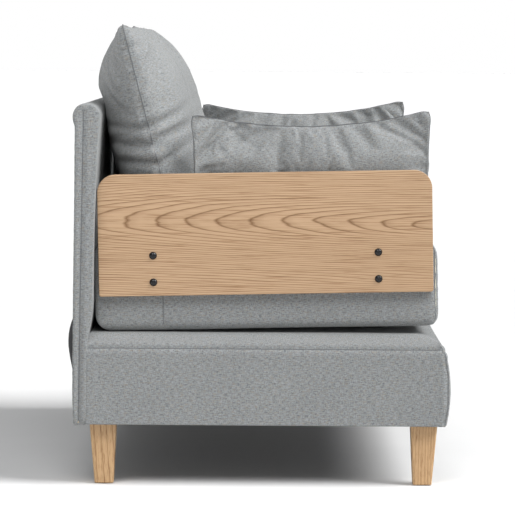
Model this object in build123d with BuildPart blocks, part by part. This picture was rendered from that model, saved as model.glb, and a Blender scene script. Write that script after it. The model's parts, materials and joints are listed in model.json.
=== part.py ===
"""Compact two-seat sofa with wooden side panels, loose cushions and tapered legs.

Millimetres, +Z up, front towards -Y, origin on the floor at the middle of the outline.
Every piece is its own solid in its own file.
"""
from build123d import *
import os
from math import cos, radians, sin

os.makedirs("parts", exist_ok=True)

# ---- Driving dimensions -------------------------------------------------------------------
half_width = 600.0        # base and back, to their side faces
cover = 2.0               # upholstery fabric with its lining
board = 22.0              # solid-wood rails
sides = {"left": 1, "right": -1}

# Legs
glide_height = 2.0
plate_thickness = 3.0
leg_height = 116.0
leg_top, leg_foot = 52.0, 37.0
leg_x = 554.0
foot_shift = 2.0          # each foot's middle is this far from its top's, both ways
glide_radius = 13.0
plate_size = 48.0
hanger_depth = 40.0
leg_y = {"front": -324.0, "rear": 306.0}
bolt_radius = 4.0
bolt_hole_radius = 4.2

# Base box
base_bottom = glide_height + leg_height + plate_thickness
base_front, base_rear = -364.0, 338.0
base_bulge = 8.0          # how far the front face bows out
base_seam_z = 276.0       # top seam along the sides
base_crown_z = 299.0      # top of the padded crown
rail_bottom = base_bottom + 3.0
rail_top = 254.0
deck_thickness = 12.0
deck_top = rail_top + deck_thickness

# Seat block, in its own tilted frame: x across, y towards the back, z up from its underside
seat_tilt = 1.3
seat_centre_y = -14.5
seat_underside_z = 308.6
seat_half_width = 560.0
seat_half_length = 334.5
seat_edge, seat_crown = 168.0, 182.0
seat_heel_radius, seat_toe_radius = 32.0, 22.0        # bottom corners at the rear and front
seat_board = 12.0
seat_rail_top = 88.0
side_rail_top = 158.0
spring_wire = 2.0
seat_plane = Plane(
    origin=(0, seat_centre_y, seat_underside_z),
    x_dir=(1, 0, 0),
    z_dir=(0, sin(radians(seat_tilt)), cos(radians(seat_tilt))),
)

# Wooden side panels, in the seat frame
panel_length, panel_height, panel_thickness = 654.0, 238.0, 18.0
panel_y, panel_z = 0.3, 187.0
panel_top_radius, panel_bottom_radius = 35.0, 5.0
bolt_span = 440.0
bolt_rows = (147.0, 94.8)
dome_radius, dome_height = 7.6, 4.5
dome_share = 0.72         # of the dome's radius and height, at the middle of its profile
recess_length, recess_width = 6.5, 1.4

# Back
back_bottom, back_top = 120.0, 745.0
back_board_front, back_board = 342.0, 14.0
back_inner_front_z = 286.0
back_bolt_points = [(x, z) for x in (-440.0, -150.0, 150.0, 440.0) for z in (160.0, 225.0)]

# Loose cushions
back_cushion = (528.0, 419.0, 178.0)      # width, height, thickness
back_cushion_x, back_cushion_y, back_cushion_z = 271.0, 207.0, 691.5
back_cushion_lean = 14.6
arm_cushion = (443.0, 244.0, 110.0)       # length, height, thickness
arm_cushion_x, arm_cushion_y, arm_cushion_z = 503.0, -113.5, 613.5
arm_cushion_lean = 5.0


def save(part, name):
    """Label one finished piece and write its file."""
    part.label = name
    export_step(part, f"parts/{name}.step")


# ---- Envelopes of the upholstered blocks --------------------------------------------------
def base_envelope(inset):
    """The padded base box, its faces moved in by inset; an inset one runs on below the underside."""
    bottom = base_bottom
    low = bottom - 10 * inset
    front, rear = base_front + inset, base_rear - inset
    side, seam, crown = half_width - inset, base_seam_z - inset, base_crown_z - inset
    with BuildPart() as block:
        with BuildSketch(Plane.YZ):
            with BuildLine():
                Line((rear, low), (rear, seam + 8))
                ThreePointArc((rear, seam + 8), (rear - 5, crown - 4), (rear - 26, crown))
                Line((rear - 26, crown), (front + 80, crown))
                ThreePointArc((front + 80, crown), (front + 35, crown - 6), (front + 3, seam - 6))
                ThreePointArc((front + 3, seam - 6), (front - base_bulge, 192), (front, bottom))
                if inset:
                    Line((front, bottom), (front, low))
                Line((front, low), (rear, low))
            make_face()
        extrude(amount=side, both=True)
        with BuildSketch(Plane.XZ):
            with BuildLine():
                Line((-side, low), (side, low))
                Line((side, low), (side, seam - 5))
                ThreePointArc((side, seam - 5), (side - 14, seam + 11), (side - 45, crown - 2))
                ThreePointArc((side - 45, crown - 2), (0, crown + 2), (45 - side, crown - 2))
                ThreePointArc((45 - side, crown - 2), (14 - side, seam + 11), (-side, seam - 5))
                Line((-side, seam - 5), (-side, low))
            make_face()
        extrude(amount=half_width, both=True, mode=Mode.INTERSECT)
    return block.part


def seat_envelope(inset):
    """The seat block in its tilted frame, its faces moved in by inset."""
    side, end = seat_half_width - inset, seat_half_length - inset
    low, edge, crown = inset, seat_edge - inset, seat_crown - inset
    heel, toe = seat_heel_radius, seat_toe_radius
    with BuildPart() as block:
        with BuildSketch(Plane.YZ):
            with BuildLine():
                Line((toe - end, low), (end - heel, low))
                RadiusArc((end - heel, low), (end, low + heel), -heel)
                Line((end, low + heel), (end, edge - 20))
                ThreePointArc((end, edge - 20), (end - 8, edge - 2), (end - 40, crown))
                Line((end - 40, crown), (60 - end, crown))
                ThreePointArc((60 - end, crown), (11 - end, edge - 6), (-end, edge - 40))
                Line((-end, edge - 40), (-end, low + toe))
                RadiusArc((-end, low + toe), (toe - end, low), -toe)
            make_face()
        extrude(amount=side, both=True)
        with BuildSketch(Plane.XZ):
            with BuildLine():
                Line((16 - side, low), (side - 16, low))
                RadiusArc((side - 16, low), (side, low + 16), -16)
                Line((side, low + 16), (side, edge - 14))
                ThreePointArc((side, edge - 14), (side - 10, edge), (side - 60, crown - 4))
                ThreePointArc((side - 60, crown - 4), (0, crown + 3), (60 - side, crown - 4))
                ThreePointArc((60 - side, crown - 4), (10 - side, edge), (-side, edge - 14))
                Line((-side, edge - 14), (-side, low + 16))
                RadiusArc((-side, low + 16), (16 - side, low), -16)
            make_face()
        extrude(amount=seat_half_length, both=True, mode=Mode.INTERSECT)
    return block.part


def back_envelope(inset):
    """The thin upholstered back, its faces moved in by inset."""
    bottom = back_bottom - (inset > 0) * 20
    top = back_top - inset
    with BuildPart() as block:
        with BuildSketch(Plane.YZ):
            with BuildLine():
                Line((339.5 + inset, bottom), (338 + inset, back_inner_front_z))
                ThreePointArc((338 + inset, back_inner_front_z), (332 + inset, 312), (326.5 + inset, 362))
                ThreePointArc((326.5 + inset, 362), (325.5 + inset, 470), (314.5 + inset, 716))
                ThreePointArc((314.5 + inset, 716), (334, top), (359 - inset, 706))
                Line((359 - inset, 706), (362.5 - inset, 180))
                Line((362.5 - inset, 180), (360 - inset, bottom))
                Line((360 - inset, bottom), (339.5 + inset, bottom))
            make_face()
        extrude(amount=half_width - inset, both=True)
        top_corners = block.edges().filter_by(Axis.Y).group_by(Axis.Z)[-1]
        if top_corners:
            fillet(top_corners, 12)
    return block.part


def shell(outer, inner):
    """What is left of the outer solid when the inner one is taken out."""
    with BuildPart() as skin:
        add(outer)
        add(inner, mode=Mode.SUBTRACT)
    return skin.part


def box_at(xs, ys, zs):
    """A plain box from its limits, used as a rail or as a cutter."""
    with BuildPart() as block:
        with Locations((sum(xs) / 2, sum(ys) / 2, sum(zs) / 2)):
            Box(xs[1] - xs[0], ys[1] - ys[0], zs[1] - zs[0])
    return block.part


def trimmed(xs, ys, zs, envelope, cutters=()):
    """A box kept inside the envelope, less the cutters."""
    with BuildPart() as piece:
        add(box_at(xs, ys, zs))
        add(envelope, mode=Mode.INTERSECT)
        for cutter in cutters:
            add(cutter, mode=Mode.SUBTRACT)
    return piece.part


def rods(points, radius, low, high):
    """Round bars standing along Z at each (x, y) point."""
    with BuildPart() as bars:
        with BuildSketch(Plane.XY.offset(low)):
            with Locations(*points):
                Circle(radius)
        extrude(amount=high - low)
    return bars.part


def back_bars(radius, start, end):
    """Round bars along Y, one for each bolt that holds the back to the base."""
    with BuildPart() as bars:
        with BuildSketch(Plane.XZ.offset(-start)):
            with Locations(*back_bolt_points):
                Circle(radius)
        extrude(amount=start - end)
    return bars.part


# ---- Legs and their hardware --------------------------------------------------------------
leg_points = [(s * leg_x, y) for s in sides.values() for y in leg_y.values()]
leg_low, leg_high = glide_height, glide_height + leg_height
hanger_low, hanger_high = leg_high - hanger_depth, rail_bottom + 32

for side_name, s in sides.items():
    for end_name, y in leg_y.items():
        toe = foot_shift if end_name == "front" else -foot_shift
        with BuildPart() as leg:
            with BuildSketch(Plane.XY.offset(leg_low)):
                with Locations((s * (leg_x - foot_shift), y + toe)):
                    RectangleRounded(leg_foot, leg_foot, 4)
            with BuildSketch(Plane.XY.offset(leg_high)):
                with Locations((s * leg_x, y)):
                    RectangleRounded(leg_top, leg_top, 4)
            loft(ruled=True)
            with Locations((s * leg_x, y, leg_high)):
                Hole(bolt_radius, depth=hanger_depth)
        save(leg.part, f"leg_{end_name}_{side_name}")

with BuildPart() as leg_glides:
    for s in sides.values():
        for end_name, y in leg_y.items():
            toe = foot_shift if end_name == "front" else -foot_shift
            with Locations((s * (leg_x - foot_shift), y + toe, glide_height / 2)):
                Cylinder(glide_radius, glide_height)
save(leg_glides.part, "leg_glides")

save(rods(leg_points, bolt_radius, hanger_low, hanger_high), "leg_hanger_bolts")

with BuildPart() as leg_plates:
    with BuildSketch(Plane.XY.offset(leg_high)):
        with Locations(*leg_points):
            RectangleRounded(plate_size, plate_size, 5)
            Circle(bolt_radius, mode=Mode.SUBTRACT)
    extrude(amount=plate_thickness)
save(leg_plates.part, "leg_plates")

# ---- Base frame ---------------------------------------------------------------------------
base_outer = base_envelope(0)
base_inner = base_envelope(cover)
rail_x = half_width - cover
front_y = base_front + cover + 10
rear_y = base_rear - cover
hanger_holes = rods(leg_points, bolt_radius, rail_bottom - 5, hanger_high)

save(trimmed((-rail_x, rail_x), (front_y, front_y + board), (rail_bottom, rail_top), base_inner),
     "base_front_rail")
save(trimmed((-rail_x, rail_x), (rear_y - board, rear_y), (rail_bottom, rail_top), base_inner,
             [back_bars(bolt_hole_radius, rear_y - board - 5, rear_y + 5)]), "base_rear_rail")
inner_front, inner_rear = front_y + board, rear_y - board
for side_name, s in sides.items():
    ends = sorted((s * rail_x, s * (rail_x - board)))
    save(box_at(ends, (inner_front, inner_rear), (rail_bottom, rail_top)),
         f"base_side_rail_{side_name}")
save(box_at((-board / 2, board / 2), (inner_front, inner_rear), (rail_bottom + 50, rail_top)),
     "base_centre_beam")

block_size, block_height = 62.0, 70.0
with BuildPart() as base_corner_blocks:
    for s in sides.values():
        for y in (inner_front + block_size / 2, inner_rear - block_size / 2):
            with Locations((s * (rail_x - board - block_size / 2), y, rail_bottom + block_height / 2)):
                Box(block_size, block_size, block_height)
    add(hanger_holes, mode=Mode.SUBTRACT)
save(base_corner_blocks.part, "base_corner_blocks")

# Spacers carry the seat block on the deck; one bolt runs up through each.
spacer_points = [(x, y) for x in (-430.0, -145.0, 145.0, 430.0) for y in (-230.0, 190.0)]
spacer_radius = 24.0
spacer_zone = rods(spacer_points, spacer_radius, deck_top, 420)
deck_holes = rods(spacer_points, bolt_hole_radius, rail_top - 5, deck_top + 5)

save(trimmed((-rail_x, rail_x), (front_y, rear_y), (rail_top, deck_top), base_inner, [deck_holes]),
     "base_deck")
save(trimmed((-rail_x, rail_x), (front_y, rear_y), (deck_top, base_crown_z), base_inner,
             [spacer_zone]), "base_top_foam")
save(trimmed((-rail_x, rail_x), (base_front - base_bulge, front_y), (rail_bottom, base_crown_z),
             base_inner), "base_front_foam")

hem = 30.0
with BuildPart() as base_cover:
    add(shell(base_outer, base_inner))
    with BuildSketch(Plane.XY.offset(base_bottom + 1)):
        with Locations((0, (base_front + base_rear) / 2)):
            Rectangle(2 * half_width - 2, base_rear - base_front - 2)
            Rectangle(2 * (half_width - hem), base_rear - base_front - 2 * hem, mode=Mode.SUBTRACT)
    extrude(amount=rail_bottom - base_bottom - 1)
    add(spacer_zone, mode=Mode.SUBTRACT)
    add(back_bars(bolt_hole_radius, rear_y - 5, rear_y + 10), mode=Mode.SUBTRACT)
    add(rods(leg_points, bolt_hole_radius, base_bottom - 1, rail_bottom + 1), mode=Mode.SUBTRACT)
save(base_cover.part, "base_cover")

with BuildPart() as base_dust_cover:
    with BuildSketch(Plane.XY.offset(base_bottom)):
        with Locations((0, (base_front + base_rear) / 2)):
            Rectangle(2 * (half_width - 8), base_rear - base_front - 16)
        with Locations(*leg_points):
            Circle(bolt_radius, mode=Mode.SUBTRACT)
    extrude(amount=1)
save(base_dust_cover.part, "base_dust_cover")

# ---- Seat block (built level, then set on its tilted plane) --------------------------------
seat_outer = seat_envelope(0)
seat_inner = seat_envelope(cover)
seat_low = cover + seat_board
inside_x, inside_y = seat_half_width - cover, seat_half_length - cover
padding = 24.0
rail_y = inside_y - padding


def tilted(part, name):
    """Set a level seat piece on the tilted seat plane and save it."""
    with BuildPart() as placed:
        with Locations(seat_plane):
            add(part)
    save(placed.part, name)


bolt_ys = [panel_y + k * bolt_span / 2 for k in (-1, 1)]


def side_bars(s, radius, start, end):
    """Round bars along X on one side, one for each panel bolt, between two distances outwards."""
    with BuildPart() as bars:
        with BuildSketch(Plane.YZ.offset(s * start)):
            with Locations(*[(y, z) for y in bolt_ys for z in bolt_rows]):
                Circle(radius)
        extrude(amount=s * (end - start))
    return bars.part


spacer_level = [(x, y - seat_centre_y) for x, y in spacer_points]
seat_bolt_holes = rods(spacer_level, bolt_hole_radius + 1, -5, 60)   # wider, for the seat's tilt
tilted(trimmed((-inside_x, inside_x), (-inside_y, inside_y), (cover, seat_low), seat_inner,
               [seat_bolt_holes]), "seat_bottom_board")

for side_name, s in sides.items():
    xs = sorted((s * inside_x, s * (inside_x - board)))
    holes = side_bars(s, bolt_hole_radius, inside_x - board - 5, inside_x + 5)
    tilted(trimmed(xs, (-rail_y, rail_y), (seat_low, side_rail_top), seat_inner, [holes]),
           f"seat_side_rail_{side_name}")

span_x = inside_x - board
cross_rails = {"seat_front_rail": (-rail_y, board - rail_y), "seat_rear_rail": (rail_y - board, rail_y)}
for name, (low, high) in cross_rails.items():
    tilted(box_at((-span_x, span_x), (low, high), (seat_low, seat_rail_top)), name)

side_rail_zone = [
    box_at(sorted((s * span_x, s * (inside_x + 5))), (-rail_y, rail_y), (seat_low, side_rail_top))
    for s in sides.values()
]
foam_low = seat_rail_top + 8
nut_zone = [side_bars(s, 12, span_x - 12, inside_x) for s in sides.values()]
tilted(trimmed((-inside_x, inside_x), (-inside_y, inside_y), (foam_low, seat_crown), seat_inner,
               side_rail_zone + nut_zone), "seat_foam")
end_padding = {"seat_front_padding": (-inside_y, -rail_y), "seat_rear_padding": (rail_y, inside_y)}
for name, (low, high) in end_padding.items():
    tilted(trimmed((-inside_x, inside_x), (low, high), (seat_low, foam_low), seat_inner), name)

# Zigzag springs run from the front rail to the rear rail under the foam.
spring_count, spring_turns, spring_half = 8, 12, 22.0
spring_length = 2 * (rail_y - 12)
pitch = spring_length / (spring_turns + 1)
with BuildPart() as seat_springs:
    for k in range(spring_count):
        x = (k - (spring_count - 1) / 2) * 2 * span_x / spring_count
        corners = [(x, -spring_length / 2)]
        for turn in range(spring_turns):
            y = -spring_length / 2 + (turn + 0.5) * pitch
            hand = 1 if turn % 2 == 0 else -1
            corners += [(x + hand * spring_half, y), (x + hand * spring_half, y + pitch)]
        corners[-1] = (corners[-1][0], spring_length / 2 - pitch / 2)
        corners.append((x, spring_length / 2))
        route = [Vector(cx, cy, seat_rail_top + 4) for cx, cy in corners]
        with BuildLine() as path:
            FilletPolyline(*route, radius=pitch * 0.3)
        with BuildSketch(Plane(origin=path.line @ 0, z_dir=path.line % 0)):
            Circle(spring_wire)
        sweep(path=path.line)
tilted(seat_springs.part, "seat_springs")

with BuildPart() as spring_clips:
    for k in range(spring_count):
        x = (k - (spring_count - 1) / 2) * 2 * span_x / spring_count
        for end in (-1, 1):
            with Locations((x, end * (rail_y - 8), seat_rail_top + 1)):
                Box(16, 14, 2)
tilted(spring_clips.part, "spring_clips")

seat_hem = 70.0
with BuildPart() as seat_cover:
    add(shell(seat_outer, seat_inner))
    with Locations((0, 0, cover / 2)):
        Box(2 * (seat_half_width - seat_hem), 2 * (seat_half_length - seat_hem), cover,
            mode=Mode.SUBTRACT)
    for s in sides.values():
        add(side_bars(s, bolt_hole_radius, inside_x - 5, seat_half_width + 5), mode=Mode.SUBTRACT)
tilted(seat_cover.part, "seat_cover")

# ---- Spacers and bolts between base and seat ----------------------------------------------
with BuildPart() as below_seat:
    with Locations(seat_plane):
        with Locations((0, 0, -100 + cover)):
            Box(1400, 900, 200)
with BuildPart() as seat_spacers:
    add(rods(spacer_points, spacer_radius, deck_top, 360))
    add(rods(spacer_points, bolt_hole_radius, deck_top - 5, 365), mode=Mode.SUBTRACT)
    add(below_seat.part, mode=Mode.INTERSECT)
save(seat_spacers.part, "seat_spacers")

with BuildPart() as seat_bolts:
    add(rods(spacer_points, bolt_radius, rail_top - 6, 330))
    add(rods(spacer_points, 10, rail_top - 6, rail_top))
save(seat_bolts.part, "seat_bolts")

# ---- Wooden side panels and their bolts ---------------------------------------------------
for side_name, s in sides.items():
    with BuildPart() as arm_panel:
        with BuildSketch(Plane.YZ.offset(s * seat_half_width)) as outline:
            with Locations((panel_y, panel_z)):
                Rectangle(panel_length, panel_height)
            fillet(outline.vertices().group_by(Axis.Y)[-1], panel_top_radius)
            fillet(outline.vertices().group_by(Axis.Y)[0], panel_bottom_radius)
        extrude(amount=s * panel_thickness)
        outer_edges = arm_panel.faces().sort_by(Axis.X)[-1 if s > 0 else 0].edges()
        fillet(outer_edges, 1.5)
        add(side_bars(s, bolt_hole_radius, seat_half_width - 5, seat_half_width + 30),
            mode=Mode.SUBTRACT)
    tilted(arm_panel.part, f"arm_panel_{side_name}")

    face = seat_half_width + panel_thickness
    with BuildPart() as arm_bolts:
        add(side_bars(s, bolt_radius, inside_x - board - 8, face))
        for y in bolt_ys:
            for z in bolt_rows:
                with BuildSketch(Plane.XZ.offset(-y)):
                    with BuildLine():
                        Line((s * face, z), (s * face, z + dome_radius))
                        ThreePointArc((s * face, z + dome_radius),
                                      (s * (face + dome_share * dome_height), z + dome_share * dome_radius),
                                      (s * (face + dome_height), z))
                        Line((s * (face + dome_height), z), (s * face, z))
                    make_face()
                revolve(axis=Axis((0, y, z), (1, 0, 0)))
                with Locations((s * (face + dome_height), y, z)):
                    Box(3, recess_length, recess_width, mode=Mode.SUBTRACT)
                    Box(3, recess_width, recess_length, mode=Mode.SUBTRACT)
    tilted(arm_bolts.part, f"arm_bolts_{side_name}")

with BuildPart() as tee_nuts:
    for s in sides.values():
        add(side_bars(s, 10, inside_x - board - 2, inside_x - board))
        add(side_bars(s, bolt_radius, inside_x - board - 9, inside_x - board + 1), mode=Mode.SUBTRACT)
tilted(tee_nuts.part, "tee_nuts")

# ---- Back ---------------------------------------------------------------------------------
back_outer = back_envelope(0)
back_inner = back_envelope(cover)
board_ys = (back_board_front, back_board_front + back_board)
back_x = half_width - cover
post_width, back_rail = 60.0, 70.0
frame_low, frame_high = back_bottom + 4, 730.0

for side_name, s in sides.items():
    xs = sorted((s * back_x, s * (back_x - post_width)))
    save(trimmed(xs, board_ys, (frame_low, frame_high), back_inner,
                 [back_bars(bolt_hole_radius, 330, 365)]), f"back_post_{side_name}")
rail_span = back_x - post_width
save(box_at((-rail_span, rail_span), board_ys, (frame_high - back_rail, frame_high)),
     "back_top_rail")
save(trimmed((-rail_span, rail_span), board_ys, (frame_low, frame_low + 2 * back_rail), back_inner,
             [back_bars(bolt_hole_radius, 330, 365)]), "back_bottom_rail")
save(box_at((-post_width / 2, post_width / 2), board_ys,
            (frame_low + 2 * back_rail, frame_high - back_rail)), "back_centre_stile")
frame_zone = box_at((-back_x - 5, back_x + 5), (back_board_front, 400), (0, frame_high))
save(trimmed((-back_x, back_x), (300, 400), (back_inner_front_z - 16, back_top), back_inner,
             [frame_zone]), "back_foam")
save(trimmed((-back_x, back_x), (board_ys[1], 365), (frame_low, frame_high), back_inner),
     "back_rear_padding")

with BuildPart() as back_cover:
    add(shell(back_outer, back_inner))
    add(back_bars(bolt_hole_radius, 330, 342.5), mode=Mode.SUBTRACT)
save(back_cover.part, "back_cover")

with BuildPart() as back_bolts:
    add(back_bars(bolt_radius, rear_y - board - 6, board_ys[1]))
    add(back_bars(8, rear_y - board - 6, rear_y - board))
save(back_bolts.part, "back_bolts")

pocket_half_width, pocket_low, pocket_high = 540.0, 182.0, 336.0
with BuildPart() as rear_pocket:
    with BuildSketch(Plane.YZ):
        with BuildLine():
            Line((361.6, pocket_high), (362.6, pocket_low))
            ThreePointArc((362.6, pocket_low), (369.5, 245), (372, 290))
            ThreePointArc((372, 290), (369.6, 318), (361.6, pocket_high))
        make_face()
    extrude(amount=pocket_half_width, both=True)
    add(back_outer, mode=Mode.SUBTRACT)
save(rear_pocket.part, "rear_pocket")


# ---- Loose cushions -----------------------------------------------------------------------
def pillow(width, height, thickness):
    """A knife-edged cushion: thick in the middle, thin all round. Thickness along Y."""
    plan_depth = 1.12 * thickness         # a little deeper, so the two outlines never run level
    with BuildPart() as body:
        with BuildSketch(Plane.XY):
            Ellipse(width / 2, plan_depth / 2)
        extrude(amount=height / 2, both=True)
        with BuildSketch(Plane.YZ):
            Ellipse(thickness / 2, height / 2)
        extrude(amount=width / 2, both=True, mode=Mode.INTERSECT)
    return body.part


for side_name, s in sides.items():
    with BuildPart() as back_pillow:
        with Locations(Location((s * back_cushion_x, back_cushion_y, back_cushion_z),
                                (-back_cushion_lean, 0, 0))):
            add(pillow(*back_cushion))
    save(back_pillow.part, f"back_cushion_{side_name}")

    with BuildPart() as arm_pillow:
        with Locations(Location((s * arm_cushion_x, arm_cushion_y, arm_cushion_z),
                                (-seat_tilt, s * arm_cushion_lean, 90))):
            add(pillow(*arm_cushion))
    save(arm_pillow.part, f"arm_cushion_{side_name}")
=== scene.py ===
"""Looks for a compact two-seat sofa: woven upholstery, oak side panels and legs, loose cushions.

Metres, +Z up, front towards -Y. The camera stands off the sitter's right side, at -X.
"""
import json
import math

import bmesh
import bpy
import numpy as np
from mathutils import Matrix, Vector
from mathutils.bvhtree import BVHTree


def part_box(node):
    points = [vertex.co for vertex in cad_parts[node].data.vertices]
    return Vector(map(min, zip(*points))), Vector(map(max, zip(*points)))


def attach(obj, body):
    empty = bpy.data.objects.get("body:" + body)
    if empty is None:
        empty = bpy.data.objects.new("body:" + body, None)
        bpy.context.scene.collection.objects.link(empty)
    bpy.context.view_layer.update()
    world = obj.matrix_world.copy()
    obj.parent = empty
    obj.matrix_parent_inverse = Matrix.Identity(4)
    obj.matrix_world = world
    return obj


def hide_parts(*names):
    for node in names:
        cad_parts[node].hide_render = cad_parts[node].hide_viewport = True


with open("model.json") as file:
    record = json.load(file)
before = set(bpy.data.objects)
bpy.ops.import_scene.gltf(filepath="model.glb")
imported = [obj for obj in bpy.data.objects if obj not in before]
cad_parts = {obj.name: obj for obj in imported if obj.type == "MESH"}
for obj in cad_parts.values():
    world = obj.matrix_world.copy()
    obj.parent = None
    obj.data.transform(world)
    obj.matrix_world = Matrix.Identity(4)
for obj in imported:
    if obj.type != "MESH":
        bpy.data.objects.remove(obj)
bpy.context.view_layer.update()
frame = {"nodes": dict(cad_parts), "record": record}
scene = bpy.context.scene
SIDES = {"left": 1, "right": -1}

# ---- Node-tree helpers --------------------------------------------------------------------


def new_material(name):
    """A material with an empty Principled shader; returns the material, its tree and the shader."""
    material = bpy.data.materials.new(name)
    material.use_nodes = True
    tree = material.node_tree
    shader = next(n for n in tree.nodes if n.type == "BSDF_PRINCIPLED")
    return material, tree, shader


def add_node(tree, kind, inputs=None, **settings):
    """One node: settings are its properties; inputs maps sockets to values or to output sockets."""
    made = tree.nodes.new(kind)
    for key, value in settings.items():
        setattr(made, key, value)
    for key, value in (inputs or {}).items():
        if isinstance(value, bpy.types.NodeSocket):
            tree.links.new(value, made.inputs[key])
        else:
            made.inputs[key].default_value = value
    return made


def math_node(tree, operation, first, second=0.0, third=0.5):
    """The output of a Math node; the third value is only read by the operations that take three."""
    return add_node(tree, "ShaderNodeMath", {0: first, 1: second, 2: third}, operation=operation).outputs[0]


def blended(tree, first, first_share, second, second_share):
    """Two values added, each times its share."""
    return math_node(tree, "ADD", math_node(tree, "MULTIPLY", first, first_share),
                     math_node(tree, "MULTIPLY", second, second_share))


def use_bump(tree, shader, height, strength, distance):
    """Feed a height to the shader's normal."""
    bump = add_node(tree, "ShaderNodeBump", {"Height": height, "Strength": strength, "Distance": distance})
    tree.links.new(bump.outputs[0], shader.inputs["Normal"])


def scaled(tree, vector, scale, shift=(0, 0, 0)):
    """Coordinates multiplied by a scale for each axis."""
    inputs = {"Vector": vector, "Location": shift, "Scale": scale}
    return add_node(tree, "ShaderNodeMapping", inputs).outputs[0]


def noise_out(tree, vector, scale, detail=2.0, roughness=0.5):
    """The grey output of a noise texture, from 0 to 1 around 0.5."""
    made = add_node(tree, "ShaderNodeTexNoise",
                    {"Vector": vector, "Scale": scale, "Detail": detail, "Roughness": roughness})
    return made.outputs[0]


def ramp(tree, value, stops):
    """A colour ramp; stops are (position, (r, g, b))."""
    made = add_node(tree, "ShaderNodeValToRGB", {"Fac": value})
    elements = made.color_ramp.elements
    while len(elements) < len(stops):
        elements.new(0.5)
    for element, (position, colour) in zip(elements, stops):
        element.position = position
        element.color = (*colour, 1)
    return made.outputs["Color"]


def mixed(tree, amount, first, second, blend="MIX"):
    """Two colours mixed; sockets or (r, g, b) values."""
    made = tree.nodes.new("ShaderNodeMix")
    made.data_type = "RGBA"
    made.blend_type = blend
    for socket, value in ((made.inputs[0], amount), (made.inputs[6], first), (made.inputs[7], second)):
        if isinstance(value, bpy.types.NodeSocket):
            tree.links.new(value, socket)
        else:
            socket.default_value = value if isinstance(value, float) else (*value, 1)
    return made.outputs[2]


# ---- Materials ----------------------------------------------------------------------------
THREAD = 0.0011           # pitch of the woven threads, in metres
# Scales of the cloth's noises, in steps a metre along the weave's two directions.
WEFT_SCALE, WARP_SCALE, BLOTCH_SCALE = (115, 600, 1), (600, 140, 1), (620, 900, 1)
CLOUD_SCALE, FLECK_SCALE = (9, 9, 1), (110, 480, 1)
GRAIN_ACROSS, GRAIN_ALONG = 45.0, 3.2         # scales of the wood's noises, in steps a metre
RING_WAVER, RING_JITTER = 0.034, 0.8          # metres, rings
# How fast the tree's heart line sinks along the board, and its depth at the middle.
ARCHED_HEART, STRAIGHT_HEART = (0.062, 0.036), (0.02, 0.09)


def woven_fabric(name, light, dark, warm):
    """A melange linen-look weave: crossed threads, each in a mix of pale, dark and warm fibres."""
    material, tree, shader = new_material(name)
    uv = add_node(tree, "ShaderNodeUVMap", uv_map="weave").outputs[0]
    weft = noise_out(tree, scaled(tree, uv, WEFT_SCALE), 1.0, 2.0, 0.75)
    warp = noise_out(tree, scaled(tree, uv, WARP_SCALE, (7, 3, 0)), 1.0, 2.0, 0.75)
    blotch = noise_out(tree, scaled(tree, uv, BLOTCH_SCALE, (3, 9, 0)), 1.0, 2.0, 0.7)
    cloud = noise_out(tree, scaled(tree, uv, CLOUD_SCALE, (1, 4, 0)), 1.0, 2.0, 0.5)
    flecks = noise_out(tree, scaled(tree, uv, FLECK_SCALE, (11, 5, 0)), 1.0, 2.0, 0.7)
    tone = blended(tree, blended(tree, weft, 0.60, warp, 0.40), 0.72, blotch, 0.28)
    bright = tuple(min(1, c * 1.35) for c in light)
    base = ramp(tree, tone, [(0.40, dark), (0.50, light), (0.61, bright)])
    fleck_mask = ramp(tree, flecks, [(0.53, (0, 0, 0)), (0.64, (0.6, 0.6, 0.6))])
    coloured = mixed(tree, fleck_mask, base, warm)
    shade = ramp(tree, cloud, [(0.3, (0.94, 0.94, 0.945)), (0.7, (1, 1, 1))])
    coloured = mixed(tree, 1.0, coloured, shade, "MULTIPLY")
    tree.links.new(coloured, shader.inputs["Base Color"])
    shader.inputs["Roughness"].default_value = 0.92
    shader.inputs["Specular IOR Level"].default_value = 0.25
    shader.inputs["Sheen Weight"].default_value = 0.22
    shader.inputs["Sheen Roughness"].default_value = 0.55
    split = add_node(tree, "ShaderNodeSeparateXYZ", {0: uv})
    turns = 2 * math.pi / THREAD
    across = math_node(tree, "SINE", math_node(tree, "MULTIPLY", split.outputs[0], turns))
    along = math_node(tree, "SINE", math_node(tree, "MULTIPLY", split.outputs[1], turns))
    crossing = math_node(tree, "MULTIPLY", across, along)
    height = math_node(tree, "ADD", math_node(tree, "MULTIPLY", crossing, 0.35), tone)
    use_bump(tree, shader, height, 0.55, 0.0009)
    return material


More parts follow.
